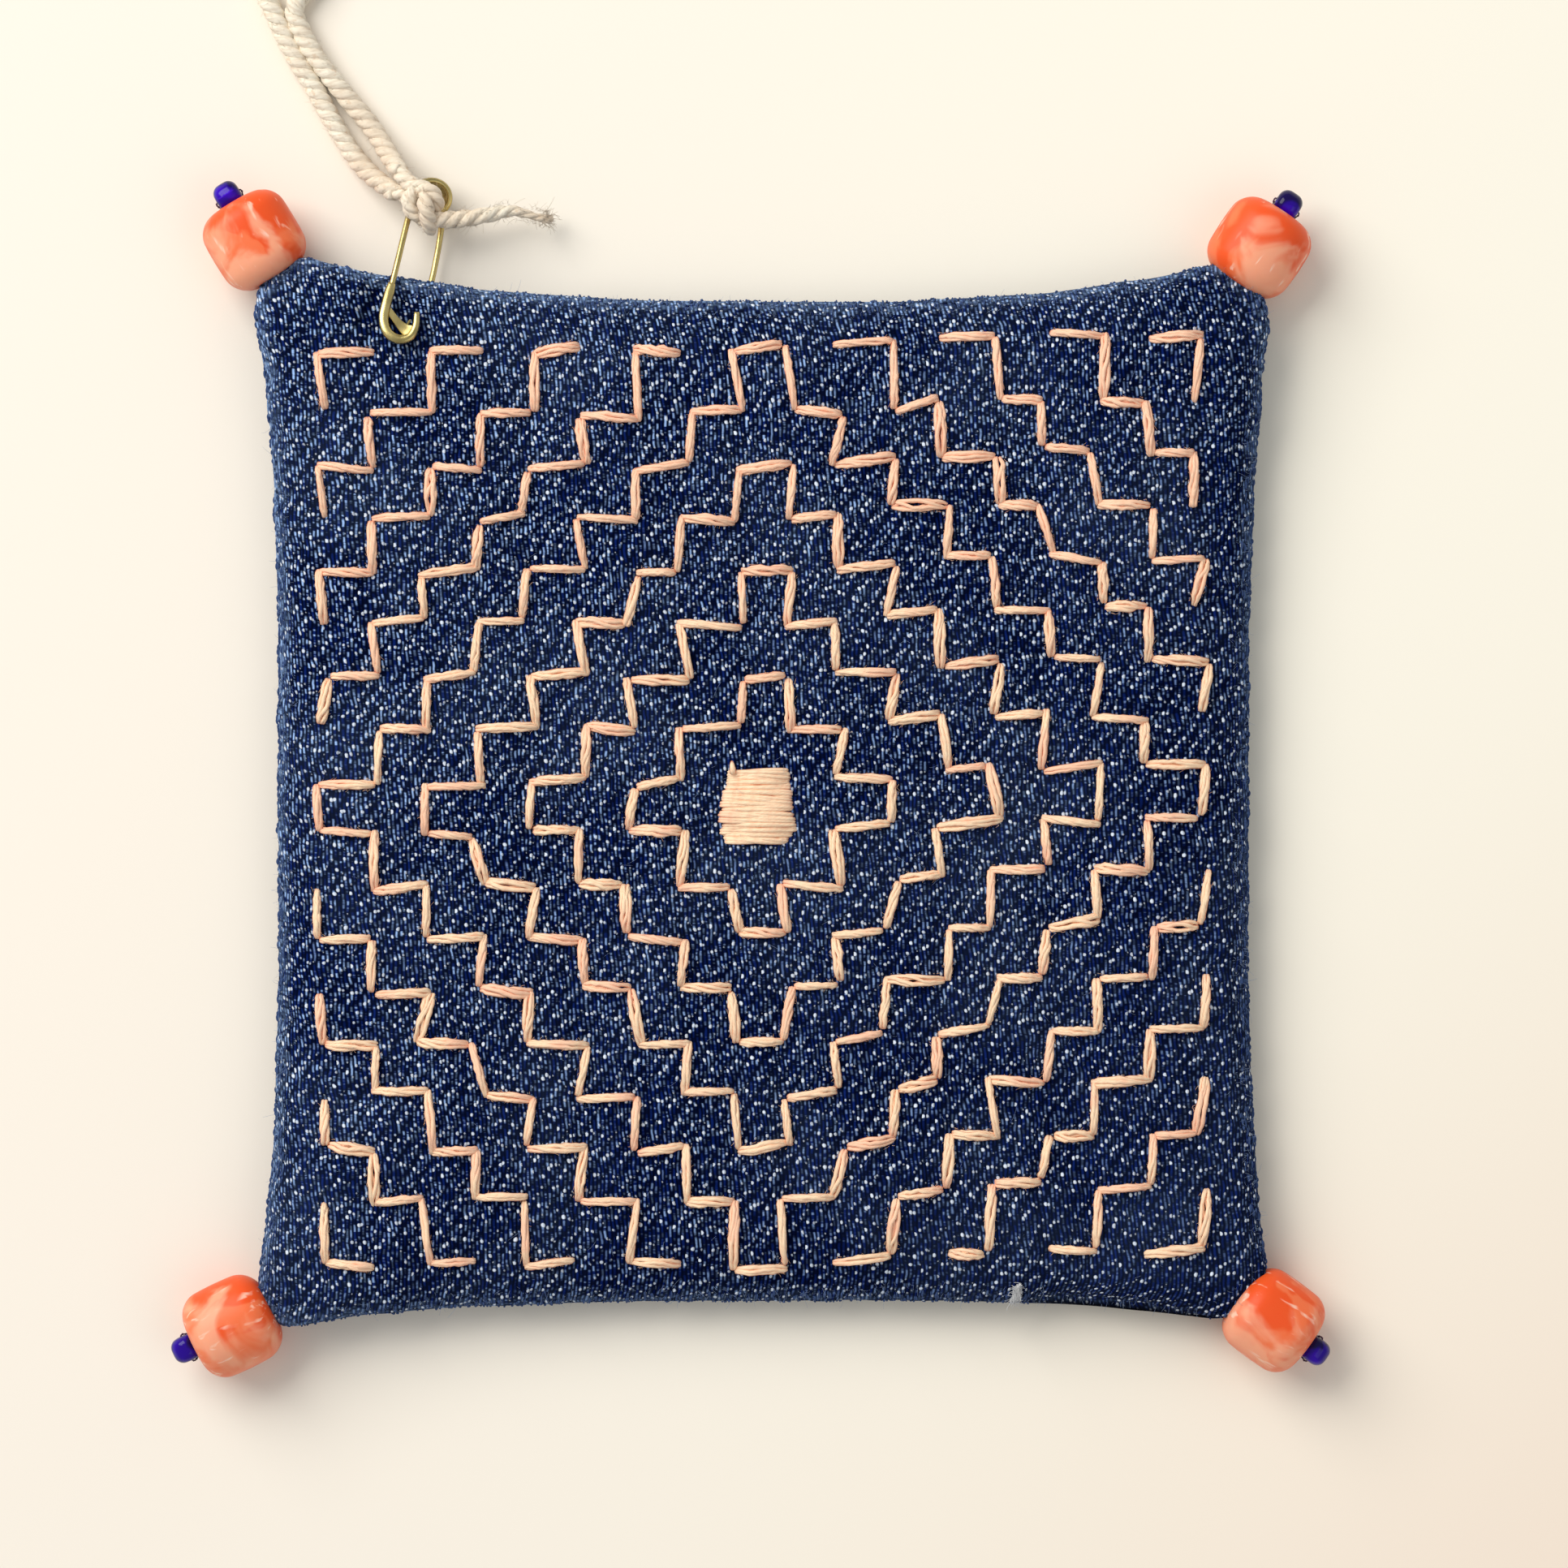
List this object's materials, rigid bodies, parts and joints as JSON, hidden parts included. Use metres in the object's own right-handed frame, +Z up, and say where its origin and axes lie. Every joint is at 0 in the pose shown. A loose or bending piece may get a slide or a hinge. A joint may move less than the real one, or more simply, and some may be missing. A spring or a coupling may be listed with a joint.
{
  "type": "embroidered denim coaster",
  "caption": "Square filled denim coaster with drawn-in sides, nested stitched diamonds, a bead at each corner, and a safety pin with a cotton tie.",
  "frame": {"origin": "middle of the underside, on the surface that the coaster lies on", "axes": "+Z up out of the embroidered face, +Y towards the edge that holds the safety pin, +X to its right"},
  "size_m": [0.1217, 0.1553, 0.0094],
  "materials": {
    "denim": "matte indigo twill with pale weft flecks",
    "floss": "soft sheen stranded cotton, peach",
    "orange_glass": "glossy milky orange with paler streaks",
    "blue_glass": "glossy cobalt violet",
    "sewing_thread": "dark purple polished thread",
    "brass": "bright brass plate",
    "cotton_cord": "soft undyed cotton"
  },
  "bodies": {
    "root": {"denim_pad": "denim", "floss_diamond_1": "floss", "floss_diamond_2": "floss", "floss_diamond_3": "floss", "floss_diamond_4": "floss", "floss_back_left_1": "floss", "floss_back_left_2": "floss", "floss_back_left_3": "floss", "floss_back_left_4": "floss", "floss_back_right_1": "floss", "floss_back_right_2": "floss", "floss_back_right_3": "floss", "floss_back_right_4": "floss", "floss_front_right_1": "floss", "floss_front_right_2": "floss", "floss_front_right_3": "floss", "floss_front_right_4": "floss", "floss_front_left_1": "floss", "floss_front_left_2": "floss", "floss_front_left_3": "floss", "floss_front_left_4": "floss", "floss_satin_middle": "floss", "barrel_bead_front_left": "orange_glass", "stop_bead_front_left": "blue_glass", "bead_thread_front_left": "sewing_thread", "barrel_bead_front_right": "orange_glass", "stop_bead_front_right": "blue_glass", "bead_thread_front_right": "sewing_thread", "barrel_bead_back_right": "orange_glass", "stop_bead_back_right": "blue_glass", "bead_thread_back_right": "sewing_thread", "barrel_bead_back_left": "orange_glass", "stop_bead_back_left": "blue_glass", "bead_thread_back_left": "sewing_thread", "pin_wire": "brass", "pin_clasp": "brass", "tie_loop": "cotton_cord", "tie_knot": "cotton_cord"}
  },
  "joints": []
}
